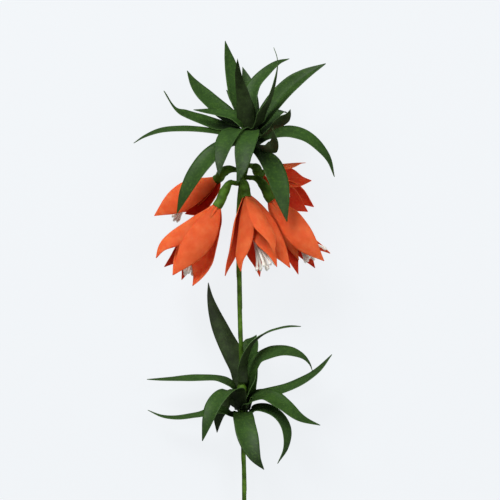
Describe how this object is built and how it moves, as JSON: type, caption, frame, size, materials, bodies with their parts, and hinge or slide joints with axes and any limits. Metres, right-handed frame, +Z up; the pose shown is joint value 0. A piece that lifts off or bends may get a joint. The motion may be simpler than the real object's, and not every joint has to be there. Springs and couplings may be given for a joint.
{
  "type": "paper crown imperial flower",
  "caption": "Handmade paper crown imperial on a cut stem, lying down: a tuft of leaves over a ring of hanging orange bells, and a whorl of leaves below.",
  "frame": {"origin": "middle of the flower's footprint, on the surface that it lies on", "axes": "+Y along the stem from its cut end towards the crown of leaves, +Z up off the surface, +X to the flower's right as seen from above"},
  "size_m": [0.161, 0.4496, 0.1096],
  "materials": {
    "leaf_paper": "matte dark green card with a faint grain",
    "petal_paper": "matte coral orange card with a faint grain",
    "stamen_paper": "matte ivory paper",
    "floral_tape": "waxed crepe tape, faintly glossy, wound on a slant",
    "stem_wire": "bare iron wire, seen at its cut end"
  },
  "bodies": {
    "root": {"stem_tape": "floral_tape", "stem_wire": "stem_wire", "whorl_binding": "floral_tape", "crown_leaf_01": "leaf_paper", "crown_leaf_02": "leaf_paper", "crown_leaf_03": "leaf_paper", "crown_leaf_04": "leaf_paper", "crown_leaf_05": "leaf_paper", "crown_leaf_06": "leaf_paper", "crown_leaf_07": "leaf_paper", "crown_leaf_08": "leaf_paper", "crown_leaf_09": "leaf_paper", "crown_leaf_10": "leaf_paper", "crown_leaf_11": "leaf_paper", "crown_leaf_12": "leaf_paper", "crown_leaf_13": "leaf_paper", "crown_leaf_14": "leaf_paper", "crown_leaf_15": "leaf_paper", "crown_leaf_16": "leaf_paper", "crown_leaf_17": "leaf_paper", "crown_leaf_18": "leaf_paper", "crown_leaf_19": "leaf_paper", "whorl_leaf_01": "leaf_paper", "whorl_leaf_02": "leaf_paper", "whorl_leaf_03": "leaf_paper", "whorl_leaf_04": "leaf_paper", "whorl_leaf_05": "leaf_paper", "whorl_leaf_06": "leaf_paper", "whorl_leaf_07": "leaf_paper", "whorl_leaf_08": "leaf_paper", "whorl_leaf_09": "leaf_paper", "whorl_leaf_10": "leaf_paper", "whorl_leaf_11": "leaf_paper", "whorl_leaf_12": "leaf_paper", "bloom_stalk_1": "floral_tape", "bloom_petals_1": "petal_paper", "bloom_stamens_1": "stamen_paper", "bloom_stalk_2": "floral_tape", "bloom_petals_2": "petal_paper", "bloom_stamens_2": "stamen_paper", "bloom_stalk_3": "floral_tape", "bloom_petals_3": "petal_paper", "bloom_stamens_3": "stamen_paper", "bloom_stalk_4": "floral_tape", "bloom_petals_4": "petal_paper", "bloom_stamens_4": "stamen_paper", "bloom_stalk_5": "floral_tape", "bloom_petals_5": "petal_paper", "bloom_stamens_5": "stamen_paper"}
  },
  "joints": []
}
